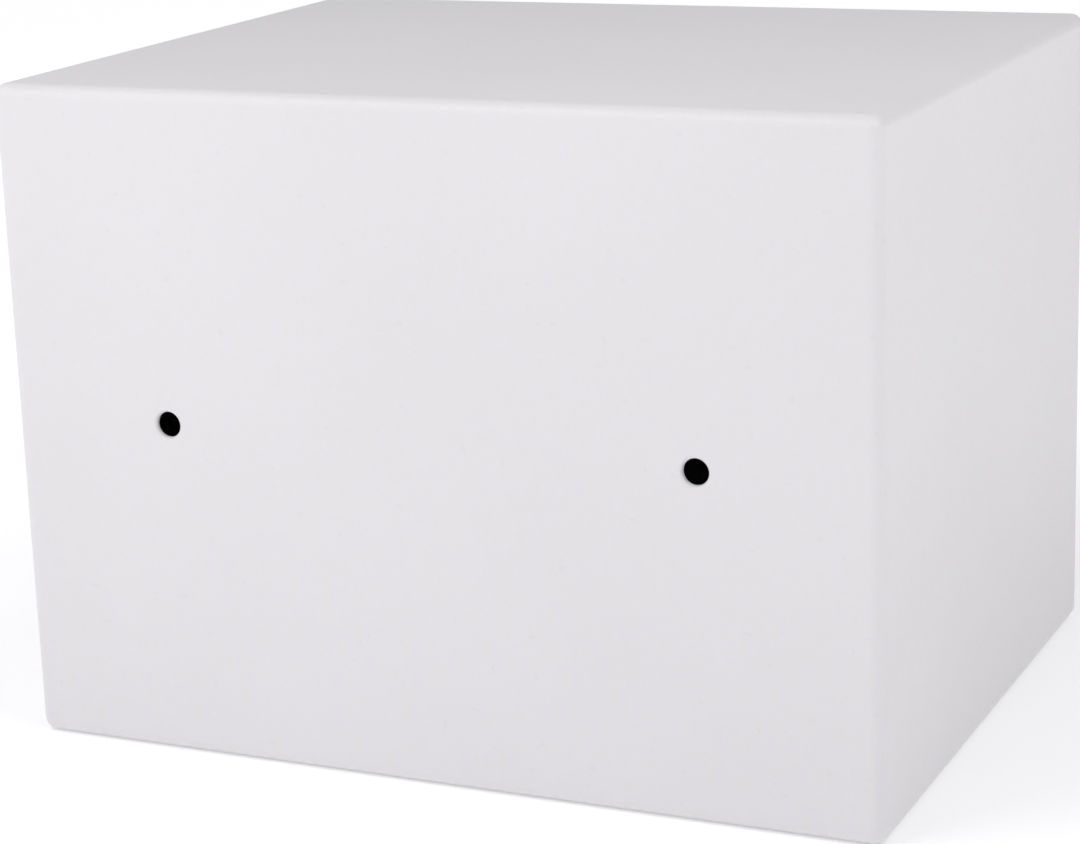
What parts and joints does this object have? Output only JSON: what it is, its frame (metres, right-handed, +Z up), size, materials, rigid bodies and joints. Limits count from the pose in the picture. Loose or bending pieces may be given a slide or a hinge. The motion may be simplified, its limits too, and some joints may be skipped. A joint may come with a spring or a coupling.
{
  "type": "electronic safe",
  "caption": "Folded steel home safe with a hinged flush door, keypad, turning knob, sliding bolts, solenoid catch and key override.",
  "frame": {"origin": "middle of the case's flat base, on the surface that it stands on, halfway between the door's face and the rear wall", "axes": "+Z up, +X to the right as seen from the front, the door faces -Y and the rear wall faces +Y"},
  "size_m": [0.338, 0.2862, 0.25],
  "materials": {
    "case_paint": "satin white powder coat with fine orange peel",
    "door_paint": "satin white powder coat with fine orange peel",
    "zinc_steel": "zinc-plated steel with fine scratches",
    "polished_steel": "turned and polished steel",
    "brass": "turned brass",
    "felt": "dark grey needle felt",
    "black_plastic": "fine spark-eroded black plastic",
    "key_plastic": "satin grey plastic with numbers",
    "rubber": "soft black rubber",
    "grey_rubber": "grey silicone rubber",
    "board": "green solder mask with parts",
    "light_lens": "coloured clear plastic, one red, one yellow and one green",
    "coil_tape": "brown wound coil under clear tape",
    "cell_jacket": "plain blue jacket with bare steel ends",
    "wire_jacket": "flexible insulation",
    "red_plastic": "red plastic"
  },
  "bodies": {
    "case": {"body_shell": "case_paint", "front_rim": "case_paint", "door_stop": "case_paint", "keeper_plate": "zinc_steel", "hinge_brackets": "case_paint", "hinge_bushes": "brass", "floor_mat": "felt"},
    "door": {"door_plate": "door_paint", "hinge_lugs": "door_paint", "hinge_pins": "polished_steel", "inner_cover": "door_paint", "cover_posts": "zinc_steel", "cover_screws": "zinc_steel", "bolt_guide": "zinc_steel", "guide_studs": "polished_steel", "spindle_bush": "brass", "knob_escutcheon": "black_plastic", "keypad_housing": "black_plastic", "key_mat": "grey_rubber", "circuit_board": "board", "buzzer": "black_plastic", "indicator_lights": "light_lens", "inner_screws": "zinc_steel", "lock_body": "polished_steel", "lock_nut": "zinc_steel", "flap_rivet": "polished_steel", "lead_grommet": "rubber", "battery_tray": "black_plastic", "battery_contacts": "zinc_steel", "battery_cells": "cell_jacket", "solenoid_frame": "zinc_steel", "solenoid_coil": "coil_tape", "solenoid_posts": "zinc_steel", "plunger_spring": "zinc_steel", "inner_leads": "wire_jacket", "reset_switch": "black_plastic"},
    "knob": {"knob": "black_plastic", "spindle": "polished_steel", "crank": "zinc_steel"},
    "bolts": {"bolt_carrier": "zinc_steel", "locking_bolts": "polished_steel"},
    "catch": {"plunger": "polished_steel"},
    "lock_plug": {"lock_plug": "brass", "lock_cam": "zinc_steel"},
    "keyhole_cover": {"keyhole_cover": "black_plastic"},
    "battery_lid": {"battery_lid": "black_plastic"},
    "reset_button": {"reset_button": "red_plastic"},
    "key_1": {"key_1": "key_plastic"},
    "key_2": {"key_2": "key_plastic"},
    "key_3": {"key_3": "key_plastic"},
    "key_4": {"key_4": "key_plastic"},
    "key_5": {"key_5": "key_plastic"},
    "key_6": {"key_6": "key_plastic"},
    "key_7": {"key_7": "key_plastic"},
    "key_8": {"key_8": "key_plastic"},
    "key_9": {"key_9": "key_plastic"},
    "key_star": {"key_star": "key_plastic"},
    "key_0": {"key_0": "key_plastic"},
    "key_hash": {"key_hash": "key_plastic"}
  },
  "joints": [
    {"name": "door_hinge", "type": "hinge", "parent": "case", "child": "door", "pos_m": [-0.1338, -0.118, 0.125], "axis": [0, 0, -1], "range_deg": [0, 110]},
    {"name": "knob_turn", "type": "hinge", "parent": "door", "child": "knob", "pos_m": [0.062, -0.129, 0.125], "axis": [0, -1, 0], "range_deg": [0, 70.46]},
    {"name": "bolt_slide", "type": "slide", "parent": "door", "child": "bolts", "axis": [1, 0, 0], "range_m": [0, 0.015]},
    {"name": "catch_drop", "type": "slide", "parent": "door", "child": "catch", "axis": [0, 0, -1], "range_m": [0, 0.008], "deforming": ["plunger_spring"]},
    {"name": "key_turn", "type": "hinge", "parent": "door", "child": "lock_plug", "pos_m": [0.062, -0.119, 0.164], "axis": [0, 1, 0], "range_deg": [0, 70]},
    {"name": "flap_swing", "type": "hinge", "parent": "door", "child": "keyhole_cover", "pos_m": [0.062, -0.13225, 0.182], "axis": [0, 1, 0], "range_deg": [-120, 120]},
    {"name": "lid_hinge", "type": "hinge", "parent": "door", "child": "battery_lid", "pos_m": [-0.062, -0.0851, 0.154], "axis": [1, 0, 0], "range_deg": [0, 100]},
    {"name": "reset_press", "type": "slide", "parent": "door", "child": "reset_button", "axis": [0, -1, 0], "range_m": [0, 0.002], "stiffness_N_per_m": 300},
    {"name": "press_key_1", "type": "slide", "parent": "door", "child": "key_1", "axis": [0, 1, 0], "range_m": [0, 0.0015], "stiffness_N_per_m": 400},
    {"name": "press_key_2", "type": "slide", "parent": "door", "child": "key_2", "axis": [0, 1, 0], "range_m": [0, 0.0015], "stiffness_N_per_m": 400},
    {"name": "press_key_3", "type": "slide", "parent": "door", "child": "key_3", "axis": [0, 1, 0], "range_m": [0, 0.0015], "stiffness_N_per_m": 400},
    {"name": "press_key_4", "type": "slide", "parent": "door", "child": "key_4", "axis": [0, 1, 0], "range_m": [0, 0.0015], "stiffness_N_per_m": 400},
    {"name": "press_key_5", "type": "slide", "parent": "door", "child": "key_5", "axis": [0, 1, 0], "range_m": [0, 0.0015], "stiffness_N_per_m": 400},
    {"name": "press_key_6", "type": "slide", "parent": "door", "child": "key_6", "axis": [0, 1, 0], "range_m": [0, 0.0015], "stiffness_N_per_m": 400},
    {"name": "press_key_7", "type": "slide", "parent": "door", "child": "key_7", "axis": [0, 1, 0], "range_m": [0, 0.0015], "stiffness_N_per_m": 400},
    {"name": "press_key_8", "type": "slide", "parent": "door", "child": "key_8", "axis": [0, 1, 0], "range_m": [0, 0.0015], "stiffness_N_per_m": 400},
    {"name": "press_key_9", "type": "slide", "parent": "door", "child": "key_9", "axis": [0, 1, 0], "range_m": [0, 0.0015], "stiffness_N_per_m": 400},
    {"name": "press_key_star", "type": "slide", "parent": "door", "child": "key_star", "axis": [0, 1, 0], "range_m": [0, 0.0015], "stiffness_N_per_m": 400},
    {"name": "press_key_0", "type": "slide", "parent": "door", "child": "key_0", "axis": [0, 1, 0], "range_m": [0, 0.0015], "stiffness_N_per_m": 400},
    {"name": "press_key_hash", "type": "slide", "parent": "door", "child": "key_hash", "axis": [0, 1, 0], "range_m": [0, 0.0015], "stiffness_N_per_m": 400}
  ],
  "couplings": [
    {"joint": "knob_turn", "follows": "bolt_slide", "rad_per_m": 81.984},
    {"joint": "catch_drop", "follows": "bolt_slide", "ratio": 0.53333}
  ]
}
